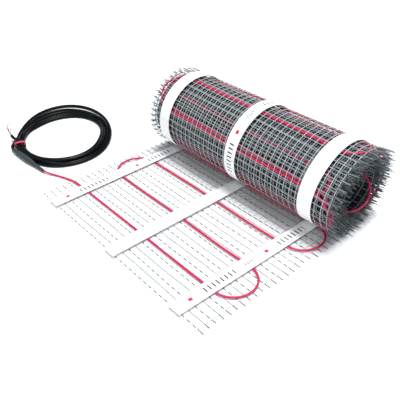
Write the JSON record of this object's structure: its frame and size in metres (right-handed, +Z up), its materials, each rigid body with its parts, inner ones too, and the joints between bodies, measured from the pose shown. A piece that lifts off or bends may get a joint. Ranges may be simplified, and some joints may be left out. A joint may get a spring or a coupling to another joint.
{
  "type": "underfloor heating mat, partly unrolled",
  "caption": "Electric underfloor heating mat: a net with tapes and a zigzag heating cable, partly unrolled, with its coiled cold lead tied beside it.",
  "frame": {"origin": "on the floor, under the middle of the mat and its roll", "axes": "+X across the mat along the roll's axis, +Y from the mat's free end towards the roll, +Z up"},
  "size_m": [0.8589, 0.451, 0.174],
  "materials": {
    "glass_net": "matte",
    "tape": "matte",
    "rolled_net": "matte",
    "heating_cable": "satin",
    "lead_sheath": "satin",
    "splice_sleeve": "matte",
    "lead_tie": "satin",
    "wire_blue": "satin",
    "wire_red": "satin",
    "wire_bare": "satin"
  },
  "bodies": {
    "root": {"net_flat": "glass_net", "rolled_mat": "rolled_net", "heating_cable": "heating_cable", "tape_above_left": "tape", "tape_above_middle": "tape", "tape_above_right": "tape", "tape_below_left": "tape", "tape_below_middle": "tape", "tape_below_right": "tape", "cold_lead_coil": "lead_sheath", "cold_lead_end": "lead_sheath", "cold_lead_to_splice": "lead_sheath", "splice_sleeve": "splice_sleeve", "heating_cable_tail": "heating_cable", "lead_tie": "lead_tie", "conductor_blue": "wire_blue", "conductor_red": "wire_red", "conductor_bare": "wire_bare"}
  },
  "joints": []
}
